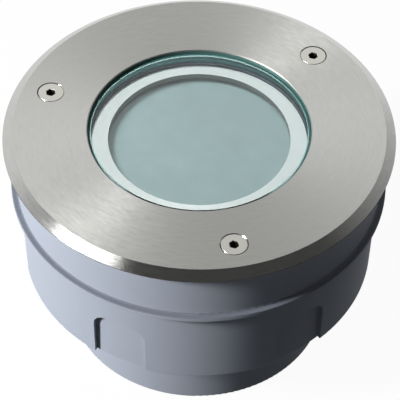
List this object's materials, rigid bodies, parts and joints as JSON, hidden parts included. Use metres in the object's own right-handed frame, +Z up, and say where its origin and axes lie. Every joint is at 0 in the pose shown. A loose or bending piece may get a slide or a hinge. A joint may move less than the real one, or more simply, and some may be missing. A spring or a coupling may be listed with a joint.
{
  "type": "in ground well light",
  "caption": "Round recessed ground light: stainless cover ring with flush glass over a white bezel and frosted disc, in a stepped plastic casing with a wiring base.",
  "frame": {"origin": "centre of the flat base, on the ground", "axes": "+Z up along the light's axis towards the glass; the cable gland points along +Y, away from the camera of the picture"},
  "size_m": [0.18, 0.18, 0.12],
  "materials": {
    "turned_steel": "turned in fine concentric lines",
    "screw_steel": "plain stainless",
    "lamp_glass": "clear toughened glass, greenish at its ground edge",
    "seal_rubber": "matte black silicone",
    "bezel_white": "satin white",
    "opal_plastic": "milky, frosted",
    "reflector_white": "glossy white",
    "led_package": "white body with a yellow window",
    "board_white": "white solder mask",
    "pad_grey": "soft grey pad",
    "heat_sink_metal": "plain cast aluminium",
    "casing_grey": "smooth satin grey",
    "insert_brass": "turned brass",
    "driver_black": "matte black case",
    "wire_insulation": "smooth coloured insulation",
    "terminal_grey": "off-white moulding",
    "gland_black": "black nylon"
  },
  "bodies": {
    "housing": {"main_seal": "seal_rubber", "bezel_ring": "bezel_white", "diffuser": "opal_plastic", "reflector": "reflector_white", "leds": "led_package", "led_board": "board_white", "led_connector": "terminal_grey", "board_screws": "screw_steel", "thermal_pad": "pad_grey", "heat_sink": "heat_sink_metal", "module_screws": "screw_steel", "upper_casing": "casing_grey", "screw_inserts": "insert_brass", "casing_seal": "seal_rubber", "casing_bolts": "screw_steel", "bolt_inserts": "insert_brass", "lower_casing": "casing_grey", "driver": "driver_black", "driver_screws": "screw_steel", "led_wires": "wire_insulation", "mains_wires": "wire_insulation", "grommet": "seal_rubber", "base_seal": "seal_rubber", "base_screws": "screw_steel", "base_cup": "casing_grey", "terminal_block": "terminal_grey", "terminal_screws": "screw_steel", "gland_washer": "seal_rubber", "gland_body": "gland_black", "gland_locknut": "gland_black"},
    "cover": {"cover_ring": "turned_steel", "glass_seal": "seal_rubber", "glass": "lamp_glass"},
    "washer_1": {"captive_washer_1": "screw_steel"},
    "washer_2": {"captive_washer_2": "screw_steel"},
    "washer_3": {"captive_washer_3": "screw_steel"},
    "screw_1": {"cover_screw_1": "screw_steel"},
    "screw_2": {"cover_screw_2": "screw_steel"},
    "screw_3": {"cover_screw_3": "screw_steel"},
    "gland_seal": {"gland_insert": "seal_rubber"},
    "gland_cap": {"gland_nut": "gland_black"}
  },
  "joints": [
    {"name": "cover_lift", "type": "slide", "parent": "housing", "child": "cover", "axis": [0, 0, 1], "range_m": [0, 0.06]},
    {"name": "screw_travel_1", "type": "slide", "parent": "cover", "child": "washer_1", "axis": [0, 0, 1], "range_m": [0, 0.012]},
    {"name": "screw_travel_2", "type": "slide", "parent": "cover", "child": "washer_2", "axis": [0, 0, 1], "range_m": [0, 0.012]},
    {"name": "screw_travel_3", "type": "slide", "parent": "cover", "child": "washer_3", "axis": [0, 0, 1], "range_m": [0, 0.012]},
    {"name": "screw_turn_1", "type": "hinge", "parent": "washer_1", "child": "screw_1", "pos_m": [0.05324, 0.04913, 0.12], "axis": [0, 0, 1], "range_deg": [0, 4320]},
    {"name": "screw_turn_2", "type": "hinge", "parent": "washer_2", "child": "screw_2", "pos_m": [-0.06917, 0.02154, 0.12], "axis": [0, 0, 1], "range_deg": [0, 4320]},
    {"name": "screw_turn_3", "type": "hinge", "parent": "washer_3", "child": "screw_3", "pos_m": [0.01593, -0.07068, 0.12], "axis": [0, 0, 1], "range_deg": [0, 4320]},
    {"name": "gland_travel", "type": "slide", "parent": "housing", "child": "gland_seal", "axis": [0, 1, 0], "range_m": [0, 0.008]},
    {"name": "gland_turn", "type": "hinge", "parent": "gland_seal", "child": "gland_cap", "pos_m": [0, 0.08, 0.022], "axis": [0, 1, 0], "range_deg": [0, 1920]}
  ],
  "couplings": [
    {"joint": "screw_turn_1", "follows": "screw_travel_1", "rad_per_m": 6283.2},
    {"joint": "screw_turn_2", "follows": "screw_travel_2", "rad_per_m": 6283.2},
    {"joint": "screw_turn_3", "follows": "screw_travel_3", "rad_per_m": 6283.2},
    {"joint": "gland_turn", "follows": "gland_travel", "rad_per_m": 4188.8}
  ]
}
